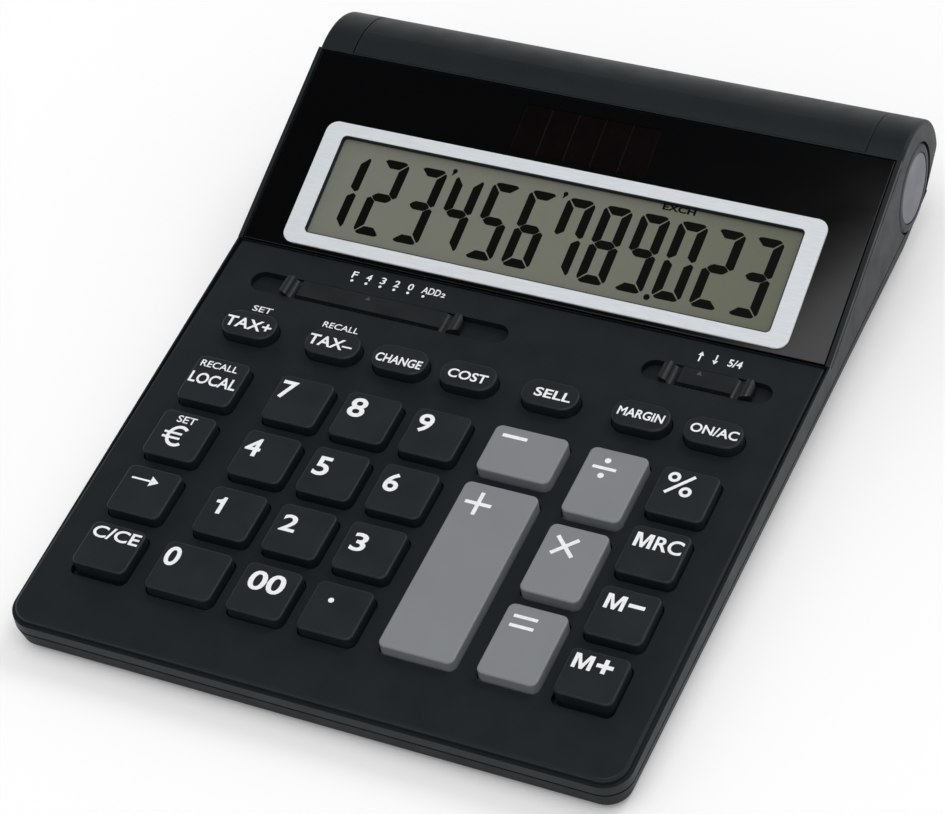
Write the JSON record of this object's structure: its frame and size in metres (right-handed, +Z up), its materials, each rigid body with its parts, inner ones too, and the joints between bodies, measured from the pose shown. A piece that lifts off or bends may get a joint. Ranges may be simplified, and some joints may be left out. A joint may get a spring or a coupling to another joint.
{
  "type": "desktop calculator",
  "caption": "Desktop calculator with a tilted display, a barrel-shaped rear edge, square and oval keys and two slide switches above them.",
  "frame": {"origin": "on the table, under the middle of the body's outer box", "axes": "+Z up, +Y from the front edge towards the barrel at the rear, +X to the user's right"},
  "size_m": [0.154, 0.2009, 0.037],
  "materials": {
    "housing": "fine matt grain, black",
    "gloss_panel": "polished black",
    "silver_frame": "satin silver paint",
    "display": "grey-green liquid crystal glass",
    "inner_plastic": "natural white",
    "circuit_board": "green solder mask",
    "solar": "dark red-brown amorphous cell",
    "cap_ring": "matt black",
    "cap_disc": "matt grey",
    "rubber_sheet": "grey silicone rubber",
    "cable": "amber film",
    "cell_metal": "nickel plate",
    "contact_metal": "nickel-plated spring strip",
    "screw_metal": "zinc plate",
    "rubber_foot": "soft black rubber",
    "switch_plastic": "satin black",
    "black_key": "satin black",
    "grey_key": "satin mid grey"
  },
  "bodies": {
    "case": {"upper_housing": "housing", "lower_housing": "housing", "rear_cover": "housing", "display_panel": "gloss_panel", "display_frame": "silver_frame", "lcd_glass": "display", "lcd_holder": "inner_plastic", "display_board": "circuit_board", "solar_cell": "solar", "end_cap_left": "cap_ring", "end_cap_right": "cap_ring", "end_disc_left": "cap_disc", "end_disc_right": "cap_disc", "main_board": "circuit_board", "rubber_keypad": "rubber_sheet", "display_cable": "cable", "battery_door": "housing", "button_cell": "cell_metal", "battery_contact_top": "contact_metal", "battery_contact_side": "contact_metal", "case_screws": "screw_metal", "board_screws": "screw_metal", "battery_door_screw": "screw_metal", "rubber_feet": "rubber_foot"},
    "key_clear": {"key_clear": "black_key"},
    "key_backspace": {"key_backspace": "black_key"},
    "key_euro": {"key_euro": "black_key"},
    "key_local": {"key_local": "black_key"},
    "key_0": {"key_0": "black_key"},
    "key_00": {"key_00": "black_key"},
    "key_point": {"key_point": "black_key"},
    "key_plus": {"key_plus": "grey_key"},
    "key_minus": {"key_minus": "grey_key"},
    "key_equals": {"key_equals": "grey_key"},
    "key_times": {"key_times": "grey_key"},
    "key_divide": {"key_divide": "grey_key"},
    "key_memory_plus": {"key_memory_plus": "black_key"},
    "key_memory_minus": {"key_memory_minus": "black_key"},
    "key_memory_recall": {"key_memory_recall": "black_key"},
    "key_percent": {"key_percent": "black_key"},
    "key_tax_plus": {"key_tax_plus": "black_key"},
    "key_tax_minus": {"key_tax_minus": "black_key"},
    "key_change": {"key_change": "black_key"},
    "key_cost": {"key_cost": "black_key"},
    "key_sell": {"key_sell": "black_key"},
    "key_margin": {"key_margin": "black_key"},
    "key_on_clear": {"key_on_clear": "black_key"},
    "key_1": {"key_1": "black_key"},
    "key_2": {"key_2": "black_key"},
    "key_3": {"key_3": "black_key"},
    "key_4": {"key_4": "black_key"},
    "key_5": {"key_5": "black_key"},
    "key_6": {"key_6": "black_key"},
    "key_7": {"key_7": "black_key"},
    "key_8": {"key_8": "black_key"},
    "key_9": {"key_9": "black_key"},
    "switch_decimal": {"switch_decimal": "switch_plastic", "decimal_contact": "contact_metal"},
    "switch_rounding": {"switch_rounding": "switch_plastic", "rounding_contact": "contact_metal"}
  },
  "joints": [
    {"name": "key_clear_press", "type": "slide", "parent": "case", "child": "key_clear", "axis": [0, 0.0502, -0.9987], "range_m": [0, 0.0015], "stiffness_N_per_m": 250, "springref_m": -0.001},
    {"name": "key_backspace_press", "type": "slide", "parent": "case", "child": "key_backspace", "axis": [0, 0.0502, -0.9987], "range_m": [0, 0.0015], "stiffness_N_per_m": 250, "springref_m": -0.001},
    {"name": "key_euro_press", "type": "slide", "parent": "case", "child": "key_euro", "axis": [0, 0.0502, -0.9987], "range_m": [0, 0.0015], "stiffness_N_per_m": 250, "springref_m": -0.001},
    {"name": "key_local_press", "type": "slide", "parent": "case", "child": "key_local", "axis": [0, 0.0502, -0.9987], "range_m": [0, 0.0015], "stiffness_N_per_m": 250, "springref_m": -0.001},
    {"name": "key_0_press", "type": "slide", "parent": "case", "child": "key_0", "axis": [0, 0.0502, -0.9987], "range_m": [0, 0.0015], "stiffness_N_per_m": 250, "springref_m": -0.001},
    {"name": "key_00_press", "type": "slide", "parent": "case", "child": "key_00", "axis": [0, 0.0502, -0.9987], "range_m": [0, 0.0015], "stiffness_N_per_m": 250, "springref_m": -0.001},
    {"name": "key_point_press", "type": "slide", "parent": "case", "child": "key_point", "axis": [0, 0.0502, -0.9987], "range_m": [0, 0.0015], "stiffness_N_per_m": 250, "springref_m": -0.001},
    {"name": "key_plus_press", "type": "slide", "parent": "case", "child": "key_plus", "axis": [0, 0.0502, -0.9987], "range_m": [0, 0.0015], "stiffness_N_per_m": 250, "springref_m": -0.001},
    {"name": "key_minus_press", "type": "slide", "parent": "case", "child": "key_minus", "axis": [0, 0.0502, -0.9987], "range_m": [0, 0.0015], "stiffness_N_per_m": 250, "springref_m": -0.001},
    {"name": "key_equals_press", "type": "slide", "parent": "case", "child": "key_equals", "axis": [0, 0.0502, -0.9987], "range_m": [0, 0.0015], "stiffness_N_per_m": 250, "springref_m": -0.001},
    {"name": "key_times_press", "type": "slide", "parent": "case", "child": "key_times", "axis": [0, 0.0502, -0.9987], "range_m": [0, 0.0015], "stiffness_N_per_m": 250, "springref_m": -0.001},
    {"name": "key_divide_press", "type": "slide", "parent": "case", "child": "key_divide", "axis": [0, 0.0502, -0.9987], "range_m": [0, 0.0015], "stiffness_N_per_m": 250, "springref_m": -0.001},
    {"name": "key_memory_plus_press", "type": "slide", "parent": "case", "child": "key_memory_plus", "axis": [0, 0.0502, -0.9987], "range_m": [0, 0.0015], "stiffness_N_per_m": 250, "springref_m": -0.001},
    {"name": "key_memory_minus_press", "type": "slide", "parent": "case", "child": "key_memory_minus", "axis": [0, 0.0502, -0.9987], "range_m": [0, 0.0015], "stiffness_N_per_m": 250, "springref_m": -0.001},
    {"name": "key_memory_recall_press", "type": "slide", "parent": "case", "child": "key_memory_recall", "axis": [0, 0.0502, -0.9987], "range_m": [0, 0.0015], "stiffness_N_per_m": 250, "springref_m": -0.001},
    {"name": "key_percent_press", "type": "slide", "parent": "case", "child": "key_percent", "axis": [0, 0.0502, -0.9987], "range_m": [0, 0.0015], "stiffness_N_per_m": 250, "springref_m": -0.001},
    {"name": "key_tax_plus_press", "type": "slide", "parent": "case", "child": "key_tax_plus", "axis": [0, 0.0502, -0.9987], "range_m": [0, 0.0015], "stiffness_N_per_m": 250, "springref_m": -0.001},
    {"name": "key_tax_minus_press", "type": "slide", "parent": "case", "child": "key_tax_minus", "axis": [0, 0.0502, -0.9987], "range_m": [0, 0.0015], "stiffness_N_per_m": 250, "springref_m": -0.001},
    {"name": "key_change_press", "type": "slide", "parent": "case", "child": "key_change", "axis": [0, 0.0502, -0.9987], "range_m": [0, 0.0015], "stiffness_N_per_m": 250, "springref_m": -0.001},
    {"name": "key_cost_press", "type": "slide", "parent": "case", "child": "key_cost", "axis": [0, 0.0502, -0.9987], "range_m": [0, 0.0015], "stiffness_N_per_m": 250, "springref_m": -0.001},
    {"name": "key_sell_press", "type": "slide", "parent": "case", "child": "key_sell", "axis": [0, 0.0502, -0.9987], "range_m": [0, 0.0015], "stiffness_N_per_m": 250, "springref_m": -0.001},
    {"name": "key_margin_press", "type": "slide", "parent": "case", "child": "key_margin", "axis": [0, 0.0502, -0.9987], "range_m": [0, 0.0015], "stiffness_N_per_m": 250, "springref_m": -0.001},
    {"name": "key_on_clear_press", "type": "slide", "parent": "case", "child": "key_on_clear", "axis": [0, 0.0502, -0.9987], "range_m": [0, 0.0015], "stiffness_N_per_m": 250, "springref_m": -0.001},
    {"name": "key_1_press", "type": "slide", "parent": "case", "child": "key_1", "axis": [0, 0.0502, -0.9987], "range_m": [0, 0.0015], "stiffness_N_per_m": 250, "springref_m": -0.001},
    {"name": "key_2_press", "type": "slide", "parent": "case", "child": "key_2", "axis": [0, 0.0502, -0.9987], "range_m": [0, 0.0015], "stiffness_N_per_m": 250, "springref_m": -0.001},
    {"name": "key_3_press", "type": "slide", "parent": "case", "child": "key_3", "axis": [0, 0.0502, -0.9987], "range_m": [0, 0.0015], "stiffness_N_per_m": 250, "springref_m": -0.001},
    {"name": "key_4_press", "type": "slide", "parent": "case", "child": "key_4", "axis": [0, 0.0502, -0.9987], "range_m": [0, 0.0015], "stiffness_N_per_m": 250, "springref_m": -0.001},
    {"name": "key_5_press", "type": "slide", "parent": "case", "child": "key_5", "axis": [0, 0.0502, -0.9987], "range_m": [0, 0.0015], "stiffness_N_per_m": 250, "springref_m": -0.001},
    {"name": "key_6_press", "type": "slide", "parent": "case", "child": "key_6", "axis": [0, 0.0502, -0.9987], "range_m": [0, 0.0015], "stiffness_N_per_m": 250, "springref_m": -0.001},
    {"name": "key_7_press", "type": "slide", "parent": "case", "child": "key_7", "axis": [0, 0.0502, -0.9987], "range_m": [0, 0.0015], "stiffness_N_per_m": 250, "springref_m": -0.001},
    {"name": "key_8_press", "type": "slide", "parent": "case", "child": "key_8", "axis": [0, 0.0502, -0.9987], "range_m": [0, 0.0015], "stiffness_N_per_m": 250, "springref_m": -0.001},
    {"name": "key_9_press", "type": "slide", "parent": "case", "child": "key_9", "axis": [0, 0.0502, -0.9987], "range_m": [0, 0.0015], "stiffness_N_per_m": 250, "springref_m": -0.001},
    {"name": "switch_decimal_slide", "type": "slide", "parent": "case", "child": "switch_decimal", "axis": [1, 0, 0], "range_m": [-0.0076, 0.0114]},
    {"name": "switch_rounding_slide", "type": "slide", "parent": "case", "child": "switch_rounding", "axis": [1, 0, 0], "range_m": [-0.0038, 0.0038]}
  ]
}
